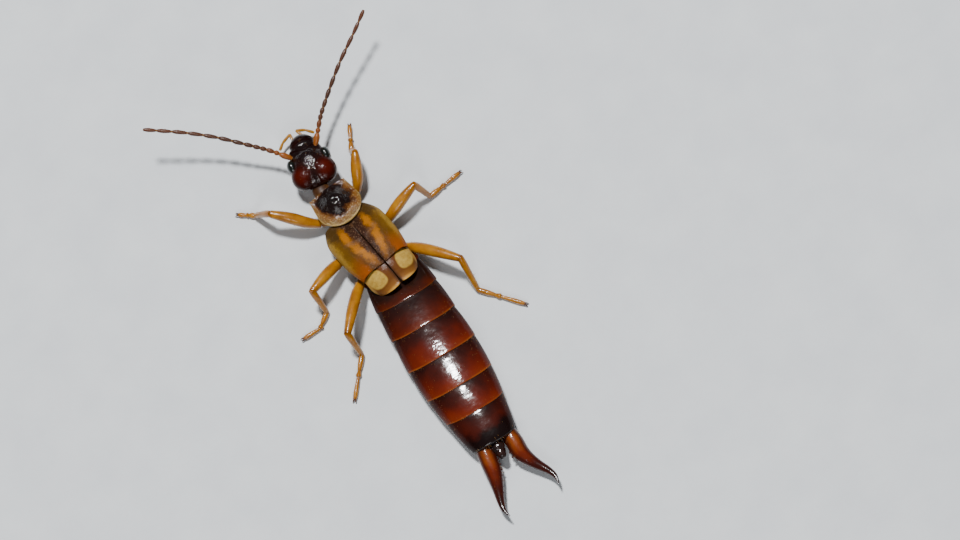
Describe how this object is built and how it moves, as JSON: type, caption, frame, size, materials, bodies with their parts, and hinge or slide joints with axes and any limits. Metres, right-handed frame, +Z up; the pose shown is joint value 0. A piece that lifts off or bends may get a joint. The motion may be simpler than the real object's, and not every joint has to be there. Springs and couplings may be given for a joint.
{
  "type": "earwig",
  "caption": "Small winged female earwig at life size, resting on its belly and feet, with slender spread forceps, short wing cases, beaded feelers and a banded abdomen",
  "frame": {"origin": "middle of the box round the whole animal, on the floor that it rests on", "axes": "+Z up, -Y ahead of the animal's head, +Y behind its forceps, +X to the animal's left"},
  "size_m": [0.0084, 0.0172, 0.002],
  "materials": {
    "head_shell": "glossy near-black red cuticle",
    "eye": "black-green, finely faceted",
    "feeler": "dark brown, satin, with paler joints",
    "pronotum_shell": "dark glossy middle and pale tan granular rim",
    "underside": "amber brown, satin",
    "wing_case": "brown with an ochre streak, satin and finely granular",
    "wing_tip": "pale yellow spot in an amber rim",
    "abdomen_shell": "deep glossy red-brown, banded",
    "forceps_shell": "red-brown, darker to black tips, glossy",
    "leg_shell": "amber yellow, glossy"
  },
  "bodies": {
    "root": {"head": "head_shell", "eye_left": "eye", "eye_right": "eye", "antenna_left": "feeler", "antenna_right": "feeler", "pronotum": "pronotum_shell", "thorax": "underside", "elytron_left": "wing_case", "elytron_right": "wing_case", "wing_tip_left": "wing_tip", "wing_tip_right": "wing_tip", "abdomen": "abdomen_shell", "pygidium": "abdomen_shell", "forceps_left": "forceps_shell", "forceps_right": "forceps_shell", "leg_front_left": "leg_shell", "leg_front_right": "leg_shell", "leg_middle_left": "leg_shell", "leg_middle_right": "leg_shell", "leg_hind_left": "leg_shell", "leg_hind_right": "leg_shell"}
  },
  "joints": []
}
